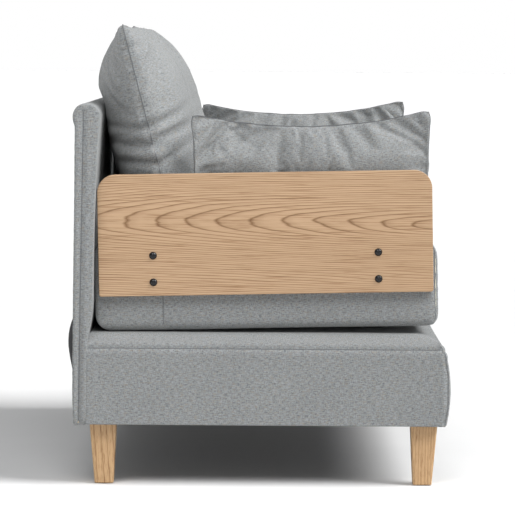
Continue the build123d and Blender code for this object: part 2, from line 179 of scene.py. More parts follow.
def sawn_wood(name, early, late, length_axis, ring_axis, centre, ring=0.0039, heart=ARCHED_HEART, rough=0.5):
    """Pale sawn wood. Rings round a heart line that sinks along the board draw nested pointed arches.

    early and late are the colours within a ring, centre the height of the heart line on the ring
    axis, ring the width of one ring.
    """
    material, tree, shader = new_material(name)
    place = add_node(tree, "ShaderNodeTexCoord").outputs["Object"]
    axes = add_node(tree, "ShaderNodeSeparateXYZ", {0: place})
    along = axes.outputs["XYZ".index(length_axis)]
    across = axes.outputs["XYZ".index(ring_axis)]

    def grain(wide, lengthwise):
        return tuple(GRAIN_ALONG * lengthwise if axis == length_axis else GRAIN_ACROSS * wide
                     for axis in "XYZ")

    waver = noise_out(tree, scaled(tree, place, grain(0.28, 0.28)), 1.0, 2.0, 0.5)
    waver = math_node(tree, "MULTIPLY", math_node(tree, "SUBTRACT", waver, 0.5), RING_WAVER)
    offset = math_node(tree, "ADD", math_node(tree, "SUBTRACT", across, centre), waver)
    depth = math_node(tree, "MULTIPLY_ADD", along, *heart)
    squares = math_node(tree, "ADD", math_node(tree, "MULTIPLY", offset, offset),
                        math_node(tree, "MULTIPLY", depth, depth))
    radius = math_node(tree, "SQRT", squares)
    jitter = noise_out(tree, scaled(tree, place, grain(0.9, 0.9), (5, 2, 8)), 1.0, 3.0, 0.6)
    rings = math_node(tree, "ADD", math_node(tree, "DIVIDE", radius, ring),
                      math_node(tree, "MULTIPLY", jitter, RING_JITTER))
    phase = math_node(tree, "FRACT", rings)
    grown = tuple(e * 0.75 + l * 0.25 for e, l in zip(early, late))
    bands = ramp(tree, phase, [(0.0, early), (0.48, early), (0.76, grown), (0.88, late), (0.96, grown),
                               (1.0, early)])
    fibre = noise_out(tree, scaled(tree, place, grain(11, 2.6)), 1.0, 3.0, 0.7)
    pores = ramp(tree, fibre, [(0.34, (0.60, 0.50, 0.42)), (0.47, (0.96, 0.95, 0.94)),
                               (0.75, (1.08, 1.08, 1.08))])
    colour = mixed(tree, 1.0, bands, pores, "MULTIPLY")
    drift = noise_out(tree, scaled(tree, place, grain(0.12, 0.12), (2, 7, 1)), 1.0, 1.0, 0.5)
    cast = ramp(tree, drift, [(0.3, (0.93, 0.91, 0.88)), (0.7, (1.0, 1.0, 1.0))])
    colour = mixed(tree, 1.0, colour, cast, "MULTIPLY")
    tree.links.new(colour, shader.inputs["Base Color"])
    shader.inputs["Roughness"].default_value = rough
    shader.inputs["Specular IOR Level"].default_value = 0.35
    use_bump(tree, shader, blended(tree, fibre, 0.7, phase, -0.3), 0.25, 0.0004)
    return material


def speckled(name, colour, rough, metal=0.0, grain=400.0, depth=0.0002, spread=0.25):
    """A plain material broken up by fine noise: moulded plastic, zinc, paint or foam."""
    material, tree, shader = new_material(name)
    place = add_node(tree, "ShaderNodeTexCoord").outputs["Object"]
    value = noise_out(tree, place, grain, 3.0, 0.6)
    low = tuple(c * (1 - spread) for c in colour)
    high = tuple(min(1.0, c * (1 + spread)) for c in colour)
    tree.links.new(ramp(tree, value, [(0.3, low), (0.7, high)]), shader.inputs["Base Color"])
    shader.inputs["Roughness"].default_value = rough
    shader.inputs["Metallic"].default_value = metal
    use_bump(tree, shader, value, 0.4, depth)
    return material


weave = woven_fabric("grey_weave", (0.218, 0.230, 0.234), (0.080, 0.089, 0.096), (0.24, 0.20, 0.15))
# Seam thread coloured darker than the weave: partly the seam itself, mostly painted shade for the sunk
# seams' grooves.
seam_shade_cloth = speckled("dark_seam_shade", (0.11, 0.115, 0.12), 0.95, grain=900, spread=0.3)
black_cloth = speckled("black_nonwoven", (0.018, 0.018, 0.02), 0.85, grain=700, depth=0.0004, spread=0.5)
# Black for the spacers under the seat: painted shade for the dark gap between seat and base, not the
# spacers' own finish.
gap_shade_black = speckled("gap_shade_black", (0.02, 0.02, 0.02), 0.6)
panel_wood = sawn_wood("oak_veneer", (0.430, 0.293, 0.180), (0.195, 0.105, 0.048), "Y", "Z", 0.520)
leg_wood = sawn_wood("oak_leg", (0.49, 0.322, 0.172), (0.29, 0.162, 0.076), "Z", "Y", 0.36,
                     ring=0.0065, heart=STRAIGHT_HEART)
pine = sawn_wood("pine_rail", (0.66, 0.50, 0.30), (0.50, 0.34, 0.18), "X", "Z", 0.1, ring=0.009,
                 heart=STRAIGHT_HEART, rough=0.7)
NODE_MATERIALS = {
    "oak_leg": leg_wood,
    "oak_veneer": panel_wood,
    "zinc_steel": speckled("zinc_steel", (0.60, 0.60, 0.62), 0.35, 1.0, 250),
    "black_bolt": speckled("black_bolt", (0.008, 0.008, 0.009), 0.16, 0.3, 300, 0.00003),
    "glide": speckled("glide", (0.10, 0.085, 0.075), 0.9, grain=900),
    "grey_weave": weave,
    "grey_cushion": weave,
    "foam": speckled("foam", (0.80, 0.76, 0.60), 0.95, grain=500, depth=0.001),
    "black_cloth": black_cloth,
    "plywood": pine,
    "pine": pine,
}
for part in frame["record"]["subparts"]:
    mesh = frame["nodes"][part["node"]].data
    mesh.materials.clear()
    gap_shaded = part["node"] == "seat_spacers"    # painted shade: the spacers are coloured black to stand in for the shade in the gap under the seat
    mesh.materials.append(gap_shade_black if gap_shaded else NODE_MATERIALS[part["material_slot"]])


# ---- Mesh helpers -------------------------------------------------------------------------
def make_piece(name, points, faces, uvs, material, body, nodes=()):
    """A mesh piece with its weave coordinates in metres, riding on a body."""
    mesh = bpy.data.meshes.new(name)
    mesh.from_pydata([tuple(p) for p in points], [], [tuple(f) for f in faces])
    if uvs is not None:
        layer = mesh.uv_layers.new(name="weave")
        layer.data.foreach_set("uv", np.asarray(uvs, np.float32).ravel())
    mesh.materials.append(material)
    shape = bmesh.new()
    shape.from_mesh(mesh)
    bmesh.ops.recalc_face_normals(shape, faces=shape.faces)
    shape.to_mesh(mesh)
    shape.free()
    mesh.polygons.foreach_set("use_smooth", [True] * len(mesh.polygons))
    piece = bpy.data.objects.new(name, mesh)
    scene.collection.objects.link(piece)
    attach(piece, body)
    if nodes:
        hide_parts(*nodes)
    return piece


def spread_lines(low, high, step, margin, fine):
    """Grid lines from low to high, closer together within a margin of each end."""
    edge = np.arange(0, margin, fine)
    count = max(2, int(round((high - low - 2 * margin) / step)))
    middle = np.linspace(low + margin, high - margin, count + 1)
    return np.concatenate([low + edge, middle, (high - edge)[::-1]])


def grid_quads(ids):
    """The quads of a grid of point numbers."""
    return np.stack([ids[:-1, :-1], ids[1:, :-1], ids[1:, 1:], ids[:-1, 1:]], -1).reshape(-1, 4)


def box_lattice(xs, ys, zs, open_bottom=False):
    """The outside of a box as a lattice: points, quads and flat weave coordinates for each corner."""
    sizes = (len(xs), len(ys), len(zs))
    index = -np.ones(sizes, int)
    grid = np.stack(np.meshgrid(xs, ys, zs, indexing="ij"), -1)
    shell = np.zeros(sizes, bool)
    shell[[0, -1], :, :] = shell[:, [0, -1], :] = shell[:, :, [0, -1]] = True
    index[shell] = np.arange(shell.sum())
    points = grid[shell]
    faces = []
    uv_axes = []
    for axis in range(3):
        others = [a for a in range(3) if a != axis]
        for end in (0, -1):
            if open_bottom and axis == 2 and end == 0:
                continue
            sheet_ids = np.take(index, end, axis)
            quad = grid_quads(sheet_ids)
            flip = (end == 0) == (axis != 1)
            faces.append(quad[:, ::-1] if flip else quad)
            uv_axes += [others] * len(quad)
    faces = np.concatenate(faces)
    uvs = np.stack([points[faces[:, k]][np.arange(len(faces))[:, None], uv_axes] for k in range(4)], 1)
    keep = np.unique(faces)
    remap = -np.ones(len(points), int)
    remap[keep] = np.arange(len(keep))
    return points[keep], remap[faces], uvs


def rounded_corner(a, b, low, high, radii):
    """Points of a rectangle, low to high in both directions, with its four corners rounded.

    radii are for (low a, low b), (low a, high b), (high a, low b), (high a, high b).
    """
    out_a, out_b = a.copy(), b.copy()
    corners = [(0, 0), (0, 1), (1, 0), (1, 1)]
    for (ia, ib), radius in zip(corners, radii):
        if radius <= 0:
            continue
        sa, sb = (1 if ia else -1), (1 if ib else -1)
        ca = (high[0] if ia else low[0]) - sa * radius
        cb = (high[1] if ib else low[1]) - sb * radius
        s, t = (a - ca) * sa / radius, (b - cb) * sb / radius
        inside = (s > 0) & (t > 0)
        reach = np.where(inside, np.maximum(s, t) / np.maximum(np.hypot(s, t), 1e-9), 1.0)
        out_a = np.where(inside, ca + sa * radius * s * reach, out_a)
        out_b = np.where(inside, cb + sb * radius * t * reach, out_b)
    return out_a, out_b


def smooth_noise(points, scale, seed):
    """A few octaves of sines with fixed random directions: soft and repeatable, about -1 to 1."""
    rng = np.random.default_rng(seed)
    total = np.zeros(len(points))
    for octave in range(3):
        for _ in range(5):
            direction = rng.normal(size=3)
            direction *= scale * 2 ** octave / np.linalg.norm(direction)
            total += np.sin(points @ direction + rng.uniform(0, 2 * np.pi)) / 2 ** octave
    return total / 5


def line(x, y, z):
    """A row of points; each of x, y and z is one value or an array."""
    return np.stack(np.broadcast_arrays(x, y, z), 1).astype(float)


def seam_line(name, route, body, radius=0.0007, closed=False):
    """A sunk seam: a thin round bead along the route, coloured dark as painted shade for the seam's groove.
    """
    route = np.asarray(route, float)
    if closed:
        tangent = np.roll(route, -1, 0) - np.roll(route, 1, 0)
    else:
        tangent = np.gradient(route, axis=0)
    tangent /= np.linalg.norm(tangent, axis=1)[:, None]
    helper = np.where(np.abs(tangent[:, :1]) > 0.8, [[0.0, 0.0, 1.0]], [[1.0, 0.0, 0.0]])
    side = np.cross(tangent, helper)
    side /= np.linalg.norm(side, axis=1)[:, None]
    up = np.cross(tangent, side)
    around = 6
    turn = np.linspace(0, 2 * np.pi, around + 1)[:-1, None]
    points = route[:, None] + radius * (np.cos(turn) * side[:, None] + np.sin(turn) * up[:, None])
    count = len(route)
    faces = []
    for i in range(count if closed else count - 1):
        j = (i + 1) % count
        for k in range(around):
            m = (k + 1) % around
            faces.append((i * around + k, i * around + m, j * around + m, j * around + k))
    if not closed:
        faces.append(tuple(range(around - 1, -1, -1)))
        faces.append(tuple(range((count - 1) * around, count * around)))
    return make_piece(name, points.reshape(-1, 3), faces, None, seam_shade_cloth, body)


def moved(points, matrix):
    """Points carried by a matrix."""
    m = np.array(matrix)
    return points @ m[:3, :3].T + m[:3, 3]


def thicken(piece, thickness):
    """Turn an open skin into a closed one of the given thickness, grown inwards."""
    solidify = piece.modifiers.new("thickness", "SOLIDIFY")
    solidify.thickness = thickness
    solidify.offset = -1
    solidify.use_even_offset = False
    apply_modifiers(piece)


def apply_modifiers(piece):
    """Replace the mesh by what its modifiers make of it."""
    graph = bpy.context.evaluated_depsgraph_get()
    made = bpy.data.meshes.new_from_object(piece.evaluated_get(graph))
    piece.modifiers.clear()
    piece.data = made


# ---- Upholstery wrapped over the CAD blocks -------------------------------------------------
def surface_tree(points, faces):
    """A search tree over a mesh."""
    return BVHTree.FromPolygons([tuple(p) for p in points], [tuple(int(i) for i in f) for f in faces])


def node_tree_of(node):
    """A search tree over a CAD node, in world coordinates."""
    solid = frame["nodes"][node]
    points = [tuple(solid.matrix_world @ v.co) for v in solid.data.vertices]
    return surface_tree(points, [tuple(f.vertices) for f in solid.data.polygons])


def nearest_on(tree, points):
    """Each point carried to the nearest place on the surface."""
    return np.array([tree.find_nearest(tuple(p))[0] for p in points])


def point_normals(points, faces):
    """Unit normals at the points, averaged over their quads."""
    corners = points[faces]
    across = np.cross(corners[:, 2] - corners[:, 0], corners[:, 3] - corners[:, 1])
    total = np.zeros_like(points)
    for k in range(4):
        np.add.at(total, faces[:, k], across)
    return total / np.maximum(np.linalg.norm(total, axis=1), 1e-12)[:, None]


def relaxed(points, faces, rounds, held=None):
    """Points eased half-way towards the middle of their neighbours, but for the held ones."""
    first, second = faces.ravel(), np.roll(faces, -1, 1).ravel()
    count = np.zeros(len(points))
    np.add.at(count, first, 1)
    np.add.at(count, second, 1)
    for _ in range(rounds):
        total = np.zeros_like(points)
        np.add.at(total, first, points[second])
        np.add.at(total, second, points[first])
        eased = points + 0.5 * (total / count[:, None] - points)
        points = eased if held is None else np.where(held[:, None], points, eased)
    return points


def along_route(points, route):
    """For each point: its distance to the route and the arc length of the nearest place on it."""
    steps = np.concatenate([[0], np.cumsum(np.linalg.norm(np.diff(route, axis=0), axis=1))])
    best = np.full(len(points), 9.0)
    place = np.zeros(len(points))
    for index, corner in enumerate(route):
        away = np.linalg.norm(points - corner, axis=1)
        closer = away < best
        best = np.where(closer, away, best)
        place = np.where(closer, steps[index], place)
    return best, place


COVER_LIFT = 0.0012                                               # cover above the CAD block
GROOVE_DEPTH, GROOVE_WIDTH = 0.0030, 0.0042                       # at a seam
RIDGE_HEIGHT, RIDGE_PLACE, RIDGE_WIDTH = 0.0009, 0.009, 0.006     # beside a seam
PUCKER_HEIGHT, PUCKER_REACH = 0.0008, 0.013


def wrapped_cover(name, node, faces, uvs, start, seams, wave=0.0010, seed=1, held=None):
    """A fabric skin laid over a CAD block, eased, with sunk puckered seams and slight waves.

    start holds points just outside the block, which are carried to its surface; seams maps a name
    to a route; wave is the height of the waves; held points aren't eased.
    """
    points = nearest_on(node_tree_of(node), start)
    points = relaxed(points, faces, 1, held=held)
    outward = point_normals(points, faces)
    middle = points.mean(0)
    if np.sum((points - middle) * outward) < 0:
        faces, uvs = faces[:, ::-1], uvs[:, ::-1]
        outward = -outward
    rise = COVER_LIFT + wave * (0.6 + 0.5 * smooth_noise(points, 21, seed))
    tree = surface_tree(points, faces)
    routes = {key: nearest_on(tree, route) for key, route in seams.items()}
    for index, route in enumerate(routes.values()):
        away, place = along_route(points, route)
        pull = 0.7 + 0.3 * np.sin(place * 70 + index)
        rise -= GROOVE_DEPTH * np.exp(-(away / GROOVE_WIDTH) ** 2)
        rise += RIDGE_HEIGHT * np.exp(-((away - RIDGE_PLACE) / RIDGE_WIDTH) ** 2)
        pucker = np.sin(place * 310 + 2.5 * np.sin(place * 43 + index) + index)
        fade = np.exp(-away / PUCKER_REACH) * np.clip(away / 0.004, 0, 1)
        rise += PUCKER_HEIGHT * pull * pucker * fade
    points = points + outward * rise[:, None]
    piece = make_piece(name, points, faces, uvs, weave, "sofa", [node])
    tree = surface_tree(points, faces)
    for key, route in routes.items():
        seam_line(key, nearest_on(tree, route), "sofa")
    return piece


# ---- Base box -----------------------------------------------------------------------------
base_low, base_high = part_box("base_cover")
SEAM_Z = 0.2765           # height of the seam round the base's top edge
SEAM_X = 0.602            # just outside the base's sides
# Starting outlines are this much larger than the block: factors across and in depth, a rise in z.
GROWN_X, GROWN_Y, GROWN_Z = 1.004, 1.006, 0.002


def base_start(points):
    """A rounded, crowned box just outside the base."""
    x, y, z = points.T.copy()
    y, z = rounded_corner(y, z, base_low.yz, base_high.yz, (0.0, 0.034, 0.0, 0.018))
    x, z = rounded_corner(x, z, base_low.xz, base_high.xz, (0.0, 0.024, 0.0, 0.024))
    x, y = rounded_corner(x, y, base_low.xy, base_high.xy, (0.008, 0.003, 0.008, 0.003))
    return np.stack([x * GROWN_X, y * GROWN_Y, z + GROWN_Z * (z > 0.2)], 1)


def build_base():
    """The base's fabric cover with its seams."""
    xs = spread_lines(base_low.x, base_high.x, 0.012, 0.048, 0.004)
    ys = spread_lines(base_low.y, base_high.y, 0.009, 0.040, 0.004)
    zs = spread_lines(base_low.z, base_high.z, 0.008, 0.036, 0.0022)
    flat, faces, uvs = box_lattice(xs, ys, zs, open_bottom=True)
    front = base_low.y + 0.006
    ys_seam = np.linspace(front + 0.002, base_high.y - 0.004, 180)
    zs_seam = np.linspace(base_low.z + 0.004, SEAM_Z - 0.002, 70)
    xs_seam = np.linspace(base_low.x + 0.004, base_high.x - 0.004, 260)
    seams = {"base_front_seam": line(xs_seam, front - 0.01, SEAM_Z - 0.006)}
    for side, s in SIDES.items():
        seams[f"base_side_seam_{side}"] = line(s * SEAM_X, ys_seam, SEAM_Z - 0.004)
        seams[f"base_corner_seam_{side}"] = line(s * SEAM_X, front - 0.003, zs_seam)
    held = flat[:, 2] < base_low.z + 0.001
    cover = wrapped_cover("base_upholstery", "base_cover", faces, uvs, base_start(flat), seams, held=held,
                          seed=5)
    thicken(cover, 0.002)


build_base()

# ---- Seat block ---------------------------------------------------------------------------
seat_low, seat_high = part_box("seat_cover")
SEAT_TILT = math.radians(1.3)     # up at the front
SEAT_HALF_X, SEAT_HALF_Y = seat_high.x, 0.3345
SEAT_HEIGHT = (seat_high.z - seat_low.z - 2 * SEAT_HALF_Y * math.sin(SEAT_TILT)) / math.cos(SEAT_TILT)
SEAT_EDGE = SEAT_HEIGHT - 0.014   # where the side seams end
SEAT_FRAME = (Matrix.Translation((seat_low + seat_high) / 2) @ Matrix.Rotation(-SEAT_TILT, 4, "X")
              @ Matrix.Translation((0, 0, -SEAT_HEIGHT / 2)))


def seat_start(points):
    """The seat block's outline in its own level frame, just outside it."""
    x, y, z = points.T.copy()
    half_x, half_y, top = SEAT_HALF_X, SEAT_HALF_Y, SEAT_HEIGHT
    y, z = rounded_corner(y, z, (-half_y, 0), (half_y, top), (0.020, 0.040, 0.020, 0.024))
    x, z = rounded_corner(x, z, (-half_x, 0), (half_x, top), (0.014, 0.020, 0.014, 0.020))
    x, y = rounded_corner(x, y, (-half_x, -half_y), (half_x, half_y), [0.012] * 4)
    return np.stack([x * GROWN_X, y * GROWN_Y, z + np.where(z > 0.1, GROWN_Z, -GROWN_Z)], 1)


def build_seat():
    """The seat block's fabric cover with its seams."""
    xs = spread_lines(-SEAT_HALF_X, SEAT_HALF_X, 0.012, 0.044, 0.004)
    ys = spread_lines(-SEAT_HALF_Y, SEAT_HALF_Y, 0.009, 0.044, 0.004)
    zs = spread_lines(0, SEAT_HEIGHT, 0.009, 0.044, 0.004)
    flat, faces, uvs = box_lattice(xs, ys, zs)
    seams = {}
    heights = np.linspace(0.008, SEAT_EDGE, 60)
    for side, s in SIDES.items():
        for kind, y in (("side", 0.203), ("corner", -SEAT_HALF_Y + 0.003)):
            route = line(s * (SEAT_HALF_X + 0.003), y, heights)
            seams[f"seat_{kind}_seam_{side}"] = moved(route, SEAT_FRAME)
    start = moved(seat_start(flat), SEAT_FRAME)
    cover = wrapped_cover("seat_upholstery", "seat_cover", faces, uvs, start, seams, seed=11)


build_seat()

# ---- Back ---------------------------------------------------------------------------------
back_low, back_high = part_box("back_cover")
BACK_TOP_FRONT, BACK_REAR = 0.3145, 0.3625       # y of the back's front face at its top, and of its rear
FRONT_HEIGHTS = (0.286, 0.312, 0.362, 0.47, 0.716, 0.745)
FRONT_FACES = (0.338, 0.332, 0.3265, 0.3255, 0.3145, 0.3145)
SIDE_WEAVE = 0.04         # the thin sides' lattice runs from 0 to 1 in depth: its size in metres


def back_start(points):
    """The thin back's outline, just outside it; y runs from 0 (front) to 1 (rear)."""
    x, t, z = points.T.copy()
    front = np.interp(z, FRONT_HEIGHTS, FRONT_FACES)
    y = front + (BACK_REAR - front) * t
    y, z = rounded_corner(y, z, (BACK_TOP_FRONT, back_low.z), (BACK_REAR, back_high.z),
                          (0.002, 0.020, 0.002, 0.020))
    x, z = rounded_corner(x, z, back_low.xz, back_high.xz, (0.0, 0.012, 0.0, 0.012))
    return np.stack([x * GROWN_X, y + (t - 0.5) * 0.006, z + np.where(z > 0.4, GROWN_Z, -GROWN_Z)], 1)


def build_back():
    """The back's fabric cover with its side seams."""
    xs = spread_lines(back_low.x, back_high.x, 0.012, 0.028, 0.0035)
    ts = np.linspace(0, 1, 13)
    zs = spread_lines(back_low.z, back_high.z, 0.010, 0.035, 0.0035)
    flat, faces, uvs = box_lattice(xs, ts, zs)
    on_side = np.repeat((np.abs(flat[faces][:, :, 0]).min(1) > back_high.x - 1e-4)[:, None], 4, 1)
    uvs[..., 0] = np.where(on_side, uvs[..., 0] * SIDE_WEAVE, uvs[..., 0])
    heights = np.linspace(back_low.z + 0.006, back_high.z - 0.014, 180)
    depth = np.interp(heights, [back_low.z, 0.35, back_high.z], [0.353, 0.350, 0.344])
    seams = {}
    for side, s in SIDES.items():
        seams[f"back_side_seam_{side}"] = line(s * (SEAM_X + 0.002), depth, heights)
    cover = wrapped_cover("back_upholstery", "back_cover", faces, uvs, back_start(flat), seams, wave=0.0008,
                          seed=3)


build_back()

# ---- Black pocket behind the back ---------------------------------------------------------
# y of the back's rear face at some heights, and how far the pocket hangs out from it.
REAR_HEIGHTS, REAR_FACES = (0.12, 0.18, 0.706), (0.360, 0.3625, 0.359)
POCKET_BULGE, POCKET_GAP, POCKET_CLOTH = 0.0170, 0.0024, 0.0010


def build_pocket():
    """A slack pocket of black non-woven cloth, stitched on all round."""
    low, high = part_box("rear_pocket")
    us, vs = np.linspace(-1, 1, 110), np.linspace(0, 1, 28)
    u, v = np.meshgrid(us, vs, indexing="ij")
    x = u * high.x
    z = low.z + v * (high.z - low.z)
    rise = np.sin(np.pi * v ** 1.35) * (1 - np.abs(u) ** 26)
    wave = 1 + 0.18 * np.sin(x * 23) + 0.10 * np.sin(x * 51 + 2 * v)
    back_face = np.interp(z, REAR_HEIGHTS, REAR_FACES)
    y = back_face + POCKET_GAP + POCKET_BULGE * rise * wave.clip(0, 1.1) / 1.1
    count_u, count_v = len(us), len(vs)
    outer = np.stack([x, y, z], -1).reshape(-1, 3)
    inner = outer - (0, POCKET_CLOTH, 0)
    ids = np.arange(count_u * count_v).reshape(count_u, count_v)
    quads = np.stack([ids[:-1, :-1], ids[:-1, 1:], ids[1:, 1:], ids[1:, :-1]], -1).reshape(-1, 4)
    faces = list(quads) + list(quads[:, ::-1] + len(outer))
    ring = list(ids[:, 0]) + list(ids[-1, 1:]) + list(ids[-2::-1, -1]) + list(ids[0, -2:0:-1])
    for a, b in zip(ring, ring[1:] + ring[:1]):
        faces.append((a, b, b + len(outer), a + len(outer)))
    pocket = make_piece("pocket", np.concatenate([outer, inner]), faces, None, black_cloth, "sofa",
                        ["rear_pocket"])


build_pocket()


# ---- Loose cushions -----------------------------------------------------------------------
# y of the back's front face at some heights, carried on past its rounded top; z of the seat's top
# near its front and rear edges.
BACK_HEIGHTS = (0.362, 0.47, 0.716, 0.735, 0.750, 0.770, 0.800)
BACK_FACES = (0.3265, 0.3255, 0.3145, 0.3150, 0.3190, 0.3320, 0.400)
SEAT_TOPS = (0.4985, 0.4835)
BACK_LEAN, ARM_LEAN = math.radians(-14.6), math.radians(5)
BACK_CUSHION_Y, BACK_CUSHION_Z = 0.2160, 0.6835
ARM_CUSHION_Y, ARM_CUSHION_Z = -0.1010, 0.6035
# Flat size; how far the edges pull in; corner radius; thickness; grid; how much larger the cloth is
# cut than its rim; how far in from the rim, and how often, the simulated cloth is eased.
CUSHIONS = {
    "back": dict(size=(0.548, 0.462), sag=(0.010, 0.018), corner=0.034, thickness=0.182, cells=(96, 80),
                 extra=0.07, soft=0.030, rounds=2),
    "arm": dict(size=(0.480, 0.266), sag=(0.010, 0.031), corner=0.024, thickness=0.112, cells=(92, 54),
                extra=0.07, soft=0.018, rounds=2),
}
# Half thickness of the back cushion at distances down from its top edge: front, then rear.
PROFILE_DROPS = (0.0, 0.020, 0.035, 0.065, 0.090, 0.125, 0.165, 0.240, 0.320, 0.410, 0.462)
FRONT_PROFILE = (0.004, 0.036, 0.050, 0.068, 0.078, 0.087, 0.091, 0.092, 0.088, 0.064, 0.004)
REAR_PROFILE = (0.004, 0.034, 0.050, 0.072, 0.084, 0.091, 0.093, 0.096, 0.090, 0.064, 0.004)
# Deep folds at the back cushion's ends: height above its middle, depth, spread.
END_FOLDS = ((0.012, 0.010, 0.008), (-0.022, 0.015, 0.010), (-0.058, 0.010, 0.008))
SPLAY, SPLAY_START, SPLAY_LENGTH = 0.044, 0.045, 0.09    # the arm cushion's rear end turns outwards


def pillow_sheets(size, sag, corner, columns, rows, start):
    """Two sheets sewn along a rim that pulls in between its corners.

    Returns points, quads, weave coordinates and the rim's points in order.
    """
    width, height = size
    us, vs = np.linspace(-0.5, 0.5, columns), np.linspace(-0.5, 0.5, rows)
    u, v = np.meshgrid(us, vs, indexing="ij")
    half = (width / 2, height / 2)
    x, z = rounded_corner(u.ravel() * width, v.ravel() * height, (-half[0], -half[1]), half, [corner] * 4)
    x, z = x.reshape(u.shape), z.reshape(u.shape)
    flat = np.stack([x, z], -1).reshape(-1, 2)
    x, z = (x * (1 - 2 * sag[0] / width * (1 - (2 * v) ** 2)),
            z * (1 - 2 * sag[1] / height * (1 - (2 * u) ** 2)))
    gap = start * (1 - (2 * u) ** 2) ** 0.5 * (1 - (2 * v) ** 2) ** 0.5
    shake = 0.0025 * smooth_noise(np.stack([x.ravel(), z.ravel(), 0 * x.ravel()], 1), 60, 8).reshape(x.shape)
    shake *= (1 - (2 * u) ** 8) * (1 - (2 * v) ** 8)
    ids = np.arange(columns * rows).reshape(columns, rows)
    rim = np.zeros((columns, rows), bool)
    rim[[0, -1], :] = rim[:, [0, -1]] = True
    back_ids = ids.copy()
    back_ids[~rim] = columns * rows + np.arange((~rim).sum())
    front = np.stack([x, shake - gap, z], -1).reshape(-1, 3)
    back = np.stack([x, shake + gap, z], -1).reshape(-1, 3)[(~rim).ravel()]
    front_quads = grid_quads(ids)
    faces = np.concatenate([front_quads, grid_quads(back_ids)[:, ::-1]])
    uvs = np.concatenate([flat[front_quads], flat[front_quads[:, ::-1]] + (0.37, 0.21)])
    ring = np.concatenate([ids[:, 0], ids[-1, 1:], ids[-2::-1, -1], ids[0, -2:0:-1]])
    return np.concatenate([front, back]), faces, uvs, ring


def inflate(points, faces, ring, extra, pressure=3.5, steps=26):
    """Blow the sheets up by a cloth simulation: the rim stays put and the cloth is cut larger."""
    mesh = bpy.data.meshes.new("inflating")
    mesh.from_pydata([tuple(p) for p in points], [], [tuple(int(i) for i in f) for f in faces])
    body = bpy.data.objects.new("inflating", mesh)
    scene.collection.objects.link(body)
    body.vertex_groups.new(name="rim").add([int(i) for i in ring], 1.0, "REPLACE")
    cloth = body.modifiers.new("cloth", "CLOTH")
    settings = cloth.settings
    settings.quality = 6
    settings.mass = 0.25
    settings.tension_stiffness = settings.compression_stiffness = 25
    settings.shear_stiffness = 6
    settings.bending_stiffness = 0.12
    settings.air_damping = 4
    settings.vertex_group_mass = "rim"
    settings.shrink_min = -extra
    settings.use_pressure = True
    settings.uniform_pressure_force = pressure
    settings.effector_weights.gravity = 0
    cloth.collision_settings.use_self_collision = False
    cloth.point_cache.frame_start = 1
    cloth.point_cache.frame_end = steps
    for step in range(1, steps + 1):
        scene.frame_set(step)
    graph = bpy.context.evaluated_depsgraph_get()
    made = bpy.data.meshes.new_from_object(body.evaluated_get(graph))
    settled = np.zeros(len(made.vertices) * 3)
    made.vertices.foreach_get("co", settled)
    bpy.data.objects.remove(body)
    bpy.data.meshes.remove(made)
    scene.frame_set(1)
    return settled.reshape(-1, 3)


def fitted_profile(points, sheet, width, height, sag):
    """Scale a cushion's thickness to the profiles, front and rear, and fill its ends out."""
    drop = height / 2 - points[:, 2]
    rim = width / 2 - sag * (1 - (2 * points[:, 2] / height) ** 2)
    full = (1 - np.minimum(np.abs(points[:, 0]) / rim, 1) ** 5) ** 0.5
    out = points.copy()
    for sign, profile in ((-1, FRONT_PROFILE), (1, REAR_PROFILE)):
        mine = sheet == sign
        levels = np.linspace(0, height, 26)
        bulge = np.abs(points[:, 1])
        reach = np.array([np.max(np.where(mine & (np.abs(drop - level) < 0.014), bulge, 0.001))
                          for level in levels])
        factor = np.interp(levels, PROFILE_DROPS, profile) / reach
        factor = np.convolve(np.pad(factor.clip(0.6, 1.6), 2, "edge"), np.ones(5) / 5, "valid")
        simulated = (points[:, 1] * sign).clip(0) * np.interp(drop, levels, factor)
        filled = np.interp(drop, PROFILE_DROPS, profile) * full
        out[:, 1] = np.where(mine, sign * (0.4 * simulated + 0.6 * filled), out[:, 1])
    out[sheet == 0, 1] = 0
    return out


def cushion_form(kind):
    """Points, quads, weave coordinates and rim of one cushion, standing in its own frame."""
    data = CUSHIONS[kind]
    size = data["size"]
    points, faces, uvs, ring = pillow_sheets(size, data["sag"], data["corner"], *data["cells"], 0.02)
    points = inflate(points, faces, ring, data["extra"])
    away = along_route(points, points[np.append(ring, ring[0])])[0]
    near = np.exp(-(away / data["soft"]) ** 2)[:, None]
    points = points + near * (relaxed(points, faces, data["rounds"]) - points)
    points[:, 1] *= data["thickness"] / (points[:, 1].max() - points[:, 1].min())
    if kind == "back":
        sheet = np.where(np.arange(len(points)) < data["cells"][0] * data["cells"][1], -1, 1)
        sheet[ring] = 0
        points = fitted_profile(points, sheet, *size, data["sag"][0])
        points = points + creases(points, size[0])[:, None] * point_normals(points, faces)
    return points, faces, uvs, ring


def creases(points, width):
    """Height of the short creases that run off the side seams, and of the deep folds low on the ends."""
    x, y, z = points.T
    inward = (width / 2 - np.abs(x)).clip(0)
    clear = np.clip(inward / 0.012, 0, 1)
    ripple = np.sin(z * 165 + 2.2 * np.sin(z * 41) + y * 25) * (0.55 + 0.45 * np.sin(z * 29 + 1.3))
    rise = np.where(y < 0, 0.0042, 0.0016) * ripple * np.exp(-inward / 0.06) * clear
    for level, depth, spread in END_FOLDS:
        middle = level + 0.25 * np.abs(y) + 0.06 * inward
        rise -= depth * np.exp(-((z - middle) / spread) ** 2) * np.exp(-inward / 0.10) * clear
    return rise


def kept_above(values, floor, softness=0.004):
    """Values kept above a floor, rounding off just before it."""
    over = (values - floor) / softness
    return np.where(over > 12, values, floor + softness * np.logaddexp(0, np.minimum(over, 12)))


